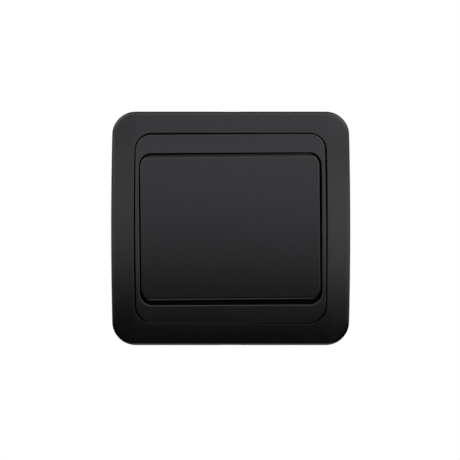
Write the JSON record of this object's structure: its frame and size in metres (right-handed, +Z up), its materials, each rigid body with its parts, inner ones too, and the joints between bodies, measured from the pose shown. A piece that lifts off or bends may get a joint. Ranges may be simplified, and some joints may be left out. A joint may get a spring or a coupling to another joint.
{
  "type": "rocker wall switch",
  "caption": "Flush rocker wall switch with a domed outer frame, an inner bezel, a wide tilting key, and a box mechanism with claws, a slotted plate and screw terminals.",
  "frame": {"origin": "centre of the wall box's screw pattern, in the plane of the wall", "axes": "+X to the right and +Z up as seen from the room, +Y into the wall; the front faces -Y"},
  "size_m": [0.082, 0.0346, 0.08],
  "materials": {
    "black_plastic": "semi-gloss moulded, deep black",
    "grey_base_plastic": "moulded thermoset, light grey",
    "dark_cover_plastic": "moulded, dark grey",
    "white_yoke_plastic": "moulded polyamide, off-white",
    "zinc_steel": "zinc-plated sheet",
    "zinc_screws": "zinc-plated, slightly yellow",
    "rivet_steel": "zinc-plated rivets",
    "brass": "stamped brass strip",
    "copper": "stamped copper plate",
    "silver_contact": "silver contact metal",
    "spring_steel": "bright spring wire"
  },
  "bodies": {
    "switch_body": {"outer_frame": "black_plastic", "trim_bezel": "black_plastic", "bezel_screws": "zinc_screws", "support_plate": "zinc_steel", "plate_rivets": "rivet_steel", "mechanism_base": "grey_base_plastic", "contact_cover": "dark_cover_plastic", "common_contact": "brass", "fixed_contact": "brass", "fixed_contact_rivet": "silver_contact"},
    "rocker": {"rocker_key": "black_plastic", "rocker_yoke": "white_yoke_plastic", "plunger_spring": "spring_steel"},
    "plunger": {"plunger": "white_yoke_plastic"},
    "see_saw": {"moving_contact": "copper", "moving_contact_rivet": "silver_contact"},
    "upper_screw": {"upper_terminal_screw": "zinc_screws"},
    "lower_screw": {"lower_terminal_screw": "zinc_screws"},
    "upper_clamp": {"upper_wire_clamp": "zinc_steel"},
    "lower_clamp": {"lower_wire_clamp": "zinc_steel"},
    "left_claw": {"left_claw": "zinc_steel"},
    "right_claw": {"right_claw": "zinc_steel"},
    "left_claw_screw": {"left_claw_screw": "zinc_screws"},
    "right_claw_screw": {"right_claw_screw": "zinc_screws"}
  },
  "joints": [
    {"name": "rocker_tilt", "type": "hinge", "parent": "switch_body", "child": "rocker", "pos_m": [0, -0.006, 0], "axis": [1, 0, 0], "range_deg": [-7, 0]},
    {"name": "plunger_slide", "type": "slide", "parent": "rocker", "child": "plunger", "axis": [0, 0.9981, 0.061], "range_m": [-0.0006, 0], "stiffness_N_per_m": 1200, "springref_m": 0.002, "deforming": ["plunger_spring"]},
    {"name": "contact_rock", "type": "hinge", "parent": "switch_body", "child": "see_saw", "pos_m": [0, 0.01305, 0], "axis": [1, 0, 0], "range_deg": [0, 18]},
    {"name": "upper_screw_turn", "type": "hinge", "parent": "switch_body", "child": "upper_screw", "pos_m": [0, 0.012, 0.018], "axis": [0, 0, -1], "range_deg": [0, 1680.1]},
    {"name": "upper_clamp_slide", "type": "slide", "parent": "switch_body", "child": "upper_clamp", "axis": [0, 0, 1], "range_m": [0, 0.0028]},
    {"name": "lower_screw_turn", "type": "hinge", "parent": "switch_body", "child": "lower_screw", "pos_m": [0, 0.012, -0.018], "axis": [0, 0, 1], "range_deg": [0, 1680.1]},
    {"name": "lower_clamp_slide", "type": "slide", "parent": "switch_body", "child": "lower_clamp", "axis": [0, 0, -1], "range_m": [0, 0.0028]},
    {"name": "right_claw_swing", "type": "hinge", "parent": "switch_body", "child": "right_claw", "pos_m": [0.0223, 0.0008, -0.006], "axis": [0, 0, -1], "range_deg": [0, 12]},
    {"name": "right_claw_screw_turn", "type": "hinge", "parent": "right_claw", "child": "right_claw_screw", "pos_m": [0.0223, 0, -0.006], "axis": [0, 1, 0], "range_deg": [0, 1800.1]},
    {"name": "left_claw_swing", "type": "hinge", "parent": "switch_body", "child": "left_claw", "pos_m": [-0.0223, 0.0008, -0.006], "axis": [0, 0, 1], "range_deg": [0, 12]},
    {"name": "left_claw_screw_turn", "type": "hinge", "parent": "left_claw", "child": "left_claw_screw", "pos_m": [-0.0223, 0, -0.006], "axis": [0, 1, 0], "range_deg": [0, 1800.1]}
  ],
  "couplings": [
    {"joint": "contact_rock", "follows": "rocker_tilt", "ratio": -2.5714},
    {"joint": "upper_screw_turn", "follows": "upper_clamp_slide", "rad_per_m": 10472},
    {"joint": "lower_screw_turn", "follows": "lower_clamp_slide", "rad_per_m": 10472},
    {"joint": "right_claw_screw_turn", "follows": "right_claw_swing", "ratio": 150},
    {"joint": "left_claw_screw_turn", "follows": "left_claw_swing", "ratio": 150}
  ]
}
